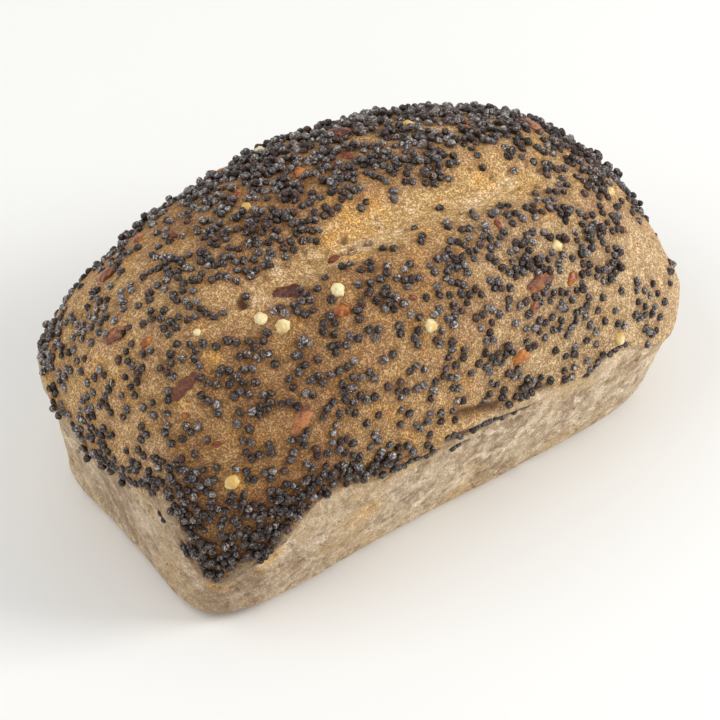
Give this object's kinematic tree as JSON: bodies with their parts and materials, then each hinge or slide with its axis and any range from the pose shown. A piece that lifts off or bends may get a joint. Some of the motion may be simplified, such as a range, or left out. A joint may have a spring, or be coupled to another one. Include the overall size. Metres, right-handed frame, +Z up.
{
  "type": "multigrain roll",
  "caption": "Small tin-baked multigrain roll with a flat base, tapered pale sides and an arched, slashed crust strewn with poppy seeds and grains.",
  "frame": {"origin": "middle of the box round the roll, at the level of its flat base", "axes": "+X along the roll's length, towards its lower end; +Y across, away from the slashed side; +Z up through the crown"},
  "size_m": [0.0858, 0.0508, 0.0438],
  "materials": {
    "crust": "matte golden-tan bread crust with dark blue-grey poppy seeds on it, and pale beige sides"
  },
  "bodies": {
    "root": {"roll": "crust"}
  },
  "joints": []
}
